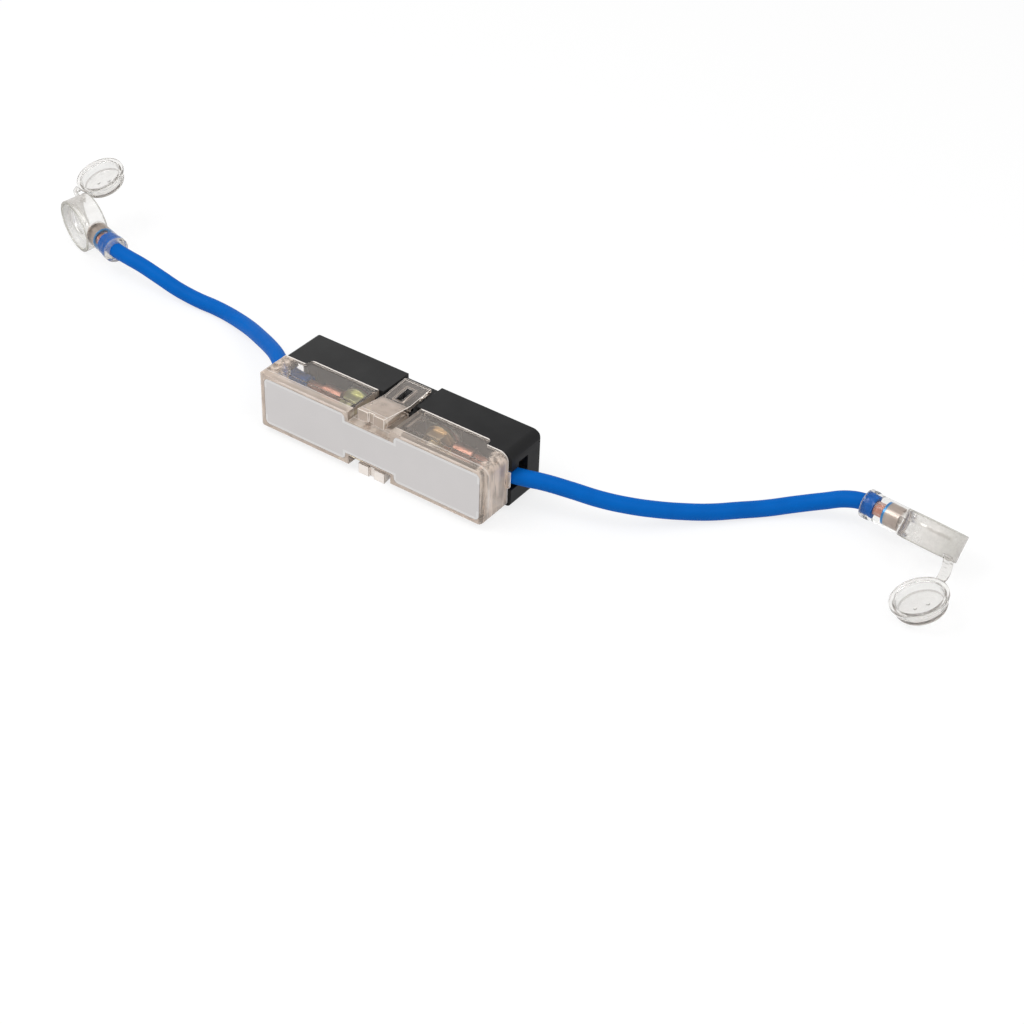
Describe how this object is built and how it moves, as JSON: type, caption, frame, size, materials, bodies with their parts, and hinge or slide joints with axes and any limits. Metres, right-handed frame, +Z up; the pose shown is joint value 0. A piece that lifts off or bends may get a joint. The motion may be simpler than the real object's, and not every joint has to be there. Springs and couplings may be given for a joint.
{
  "type": "fusible link cable",
  "caption": "Inline strip-fuse holder with a clear clip-on cover and a black base, in a short blue cable with shrouded ring lugs at its ends.",
  "frame": {"origin": "centre of the holder's footprint, on the surface it stands on, under the lower latch tab", "axes": "+X along the holder towards the cable on its right, -Y out of the labelled front of the clear cover, +Z up"},
  "size_m": [0.3276, 0.0747, 0.0233],
  "materials": {
    "black_plastic": "fine moulded texture",
    "clear_plastic": "clear moulded polycarbonate, faintly warm at its edges",
    "label": "satin label with no print",
    "zinc": "zinc plated steel",
    "brass": "yellow passivated nut",
    "fuse_grey": "dark moulded fuse body",
    "tin": "tinned copper",
    "copper": "bare copper",
    "blue_pvc": "satin blue insulation",
    "clear_pvc": "soft clear vinyl"
  },
  "bodies": {
    "holder": {"base": "black_plastic", "stud_left": "zinc", "stud_right": "zinc", "nut_left": "brass", "nut_right": "brass", "fuse_body": "fuse_grey", "fuse_strip": "tin", "inner_lug_left": "copper", "inner_lug_right": "copper", "inner_strands_left": "copper", "inner_strands_right": "copper", "cable_left": "blue_pvc", "cable_right": "blue_pvc", "outer_strands_left": "copper", "outer_strands_right": "copper", "end_lug_left": "tin", "end_lug_right": "tin", "shroud_left": "clear_pvc", "shroud_right": "clear_pvc", "strap_left": "clear_pvc", "strap_right": "clear_pvc"},
    "cover": {"cover": "clear_plastic", "latch_top": "clear_plastic", "latch_bottom": "clear_plastic", "label": "label"},
    "lid_left": {"lid_left": "clear_pvc"},
    "lid_right": {"lid_right": "clear_pvc"}
  },
  "joints": [
    {"name": "cover_lift", "type": "slide", "parent": "holder", "child": "cover", "axis": [0, -1, 0], "range_m": [0, 0.028], "deforming": ["latch_top", "latch_bottom"]},
    {"name": "lid_left_hinge", "type": "hinge", "parent": "holder", "child": "lid_left", "pos_m": [-0.15498, 0.03536, 0.01815], "axis": [-0.8854, -0.0091, -0.4647], "range_deg": [0, 113], "deforming": ["strap_left"]},
    {"name": "lid_right_hinge", "type": "hinge", "parent": "holder", "child": "lid_right", "pos_m": [0.14325, 0.03657, 0.00951], "axis": [0.923, 0.3836, 0.0317], "range_deg": [0, 142.7], "deforming": ["strap_right"]}
  ]
}
